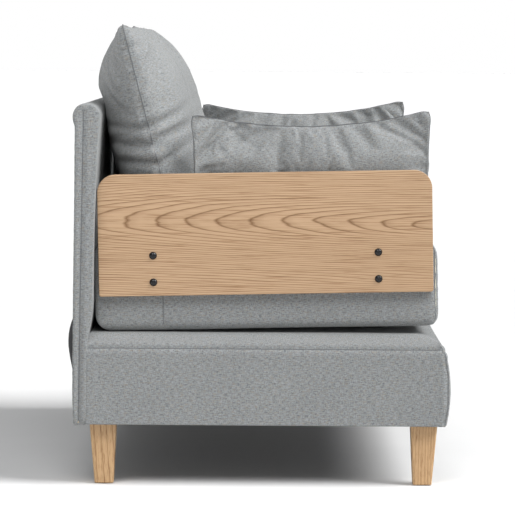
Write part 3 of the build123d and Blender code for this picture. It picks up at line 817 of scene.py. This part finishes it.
def rested(points, kind, side):
    """Press a cushion flat where it rests: on the seat, and on the back or the side panel."""
    points = points.copy()
    seat_top = seat_surface(points[:, 1]) + 0.0025
    points[:, 2] = kept_above(points[:, 2], seat_top)
    if kind == "back":
        face = back_surface(points[:, 2]) - 0.003
        points[:, 1] = -kept_above(-points[:, 1], -face)
    else:
        points[:, 0] += side * SPLAY * np.clip((points[:, 1] - SPLAY_START) / SPLAY_LENGTH, 0, 1) ** 1.5
        wall = seat_high.x - 0.0015
        points[:, 0] = -side * kept_above(-side * points[:, 0], -wall)
    return points


def seat_surface(y):
    """Height of the seat's top at each depth."""
    return np.interp(y, [seat_low.y + 0.03, seat_high.y - 0.03], SEAT_TOPS)


def back_surface(z):
    """y of the back's front face at each height."""
    return np.interp(z, BACK_HEIGHTS, BACK_FACES)


def build_cushions():
    """Two back cushions and two arm cushions, resting where the CAD solids are."""
    for kind in CUSHIONS:
        points, faces, uvs, ring = cushion_form(kind)
        for side, s in SIDES.items():
            node = f"{kind}_cushion_{side}"
            low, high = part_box(node)
            local = points * (s, 1, 1)
            middle_x = (low.x + high.x) / 2
            if kind == "back":
                place = (Matrix.Translation((middle_x, BACK_CUSHION_Y, BACK_CUSHION_Z))
                         @ Matrix.Rotation(BACK_LEAN, 4, "X"))
            else:
                place = (Matrix.Translation((middle_x, ARM_CUSHION_Y, ARM_CUSHION_Z))
                         @ Matrix.Rotation(-SEAT_TILT, 4, "X") @ Matrix.Rotation(s * ARM_LEAN, 4, "Y")
                         @ Matrix.Rotation(math.radians(90), 4, "Z"))
            world = rested(moved(local, place), kind, s)
            if s < 0:
                turned, turned_uvs = faces[:, ::-1], uvs[:, ::-1]
            else:
                turned, turned_uvs = faces, uvs
            piece = make_piece(f"{kind}_cushion_soft_{side}", world, turned, turned_uvs, weave,
                               f"loose_{kind}_{side}", [node])
            smooth = piece.modifiers.new("smooth", "SUBSURF")
            smooth.levels = smooth.render_levels = 1
            apply_modifiers(piece)
            seam_line(f"{kind}_cushion_seam_{side}", world[ring], f"loose_{kind}_{side}", 0.0008,
                      closed=True)


build_cushions()


# ---- Floor, light and camera --------------------------------------------------------------
SKY = (0.30, 0.305, 0.31)
KEY_POWER, KEY_SPREAD, KEY_AIM = 4.4, math.radians(38), (0.30, 1.0, -1.05)
FILL_POWER, FILL_SIZE = 100, (2.5, 2.0)
FILL_PLACE, FILL_TARGET = Vector((-3.2, 0.7, 3.6)), Vector((0.2, 0, 0.7))
FLOOR_REACH = 400.0
LENS, SENSOR = 200.2, 36.0
CAMERA_PLACE = (-6.155, 0.005, 0.858)
CAMERA_PITCH, CAMERA_ROLL = math.radians(4.2), math.radians(0.4)


def add_to_scene(name, data):
    """A new object holding the data."""
    made = bpy.data.objects.new(name, data)
    scene.collection.objects.link(made)
    return made


def build_floor():
    """A pale floor, a little brighter far off so that it runs into the background."""
    mesh = bpy.data.meshes.new("floor")
    reach = FLOOR_REACH
    mesh.from_pydata([(-reach, -reach, 0), (reach, -reach, 0), (reach, reach, 0), (-reach, reach, 0)], [],
                     [(0, 1, 2, 3)])
    floor = add_to_scene("floor", mesh)
    material, tree, shader = new_material("pale_floor")
    place = add_node(tree, "ShaderNodeTexCoord").outputs["Object"]
    value = noise_out(tree, place, 3.0)
    paint = ramp(tree, value, [(0.2, (0.71, 0.71, 0.71)), (0.8, (0.74, 0.74, 0.74))])
    away = add_node(tree, "ShaderNodeVectorMath", {0: place}, operation="LENGTH").outputs["Value"]
    brighter = ramp(tree, math_node(tree, "MULTIPLY", away, 0.05),
                    [(0.12, (1, 1, 1)), (0.45, (1.12, 1.12, 1.12))])
    paint = mixed(tree, 1.0, paint, brighter, "MULTIPLY")
    tree.links.new(paint, shader.inputs["Base Color"])
    shader.inputs["Roughness"].default_value = 0.9
    mesh.materials.append(material)


def build_sky():
    """A grey sky that is white near the horizon."""
    world = bpy.data.worlds.new("studio")
    scene.world = world
    world.use_nodes = True
    tree = world.node_tree
    background = next(n for n in tree.nodes if n.type == "BACKGROUND")
    direction = add_node(tree, "ShaderNodeTexCoord").outputs["Generated"]
    height = add_node(tree, "ShaderNodeSeparateXYZ", {0: direction}).outputs[2]
    glow = ramp(tree, math_node(tree, "ABSOLUTE", height),
                [(0.0, (1, 1, 1)), (0.10, (1, 1, 1)), (0.30, SKY), (1.0, SKY)])
    tree.links.new(glow, background.inputs["Color"])
    background.inputs["Strength"].default_value = 1.0


def build_lights():
    """A soft key from the front and a weak fill from the camera's side."""
    data = bpy.data.lights.new("key", "SUN")
    data.energy = KEY_POWER
    data.angle = KEY_SPREAD
    add_to_scene("key", data).rotation_euler = Vector(KEY_AIM).to_track_quat("-Z", "Y").to_euler()
    data = bpy.data.lights.new("fill", "AREA")
    data.shape = "RECTANGLE"
    data.size, data.size_y = FILL_SIZE
    data.energy = FILL_POWER
    fill = add_to_scene("fill", data)
    fill.location = FILL_PLACE
    fill.rotation_euler = (FILL_TARGET - FILL_PLACE).to_track_quat("-Z", "Y").to_euler()


def build_camera():
    """A long lens square to the side, aimed a little down, rolled by half a degree."""
    data = bpy.data.cameras.new("camera")
    data.sensor_width = SENSOR
    data.lens = LENS
    data.clip_end = 100
    camera = add_to_scene("camera", data)
    ahead = Vector((math.cos(CAMERA_PITCH), 0, -math.sin(CAMERA_PITCH)))
    turn = ahead.to_track_quat("-Z", "Y") @ Matrix.Rotation(CAMERA_ROLL, 4, "Z").to_quaternion()
    camera.matrix_world = Matrix.Translation(CAMERA_PLACE) @ turn.to_matrix().to_4x4()
    scene.camera = camera


build_floor()
build_sky()
build_lights()
build_camera()
scene.view_settings.view_transform = "Standard"
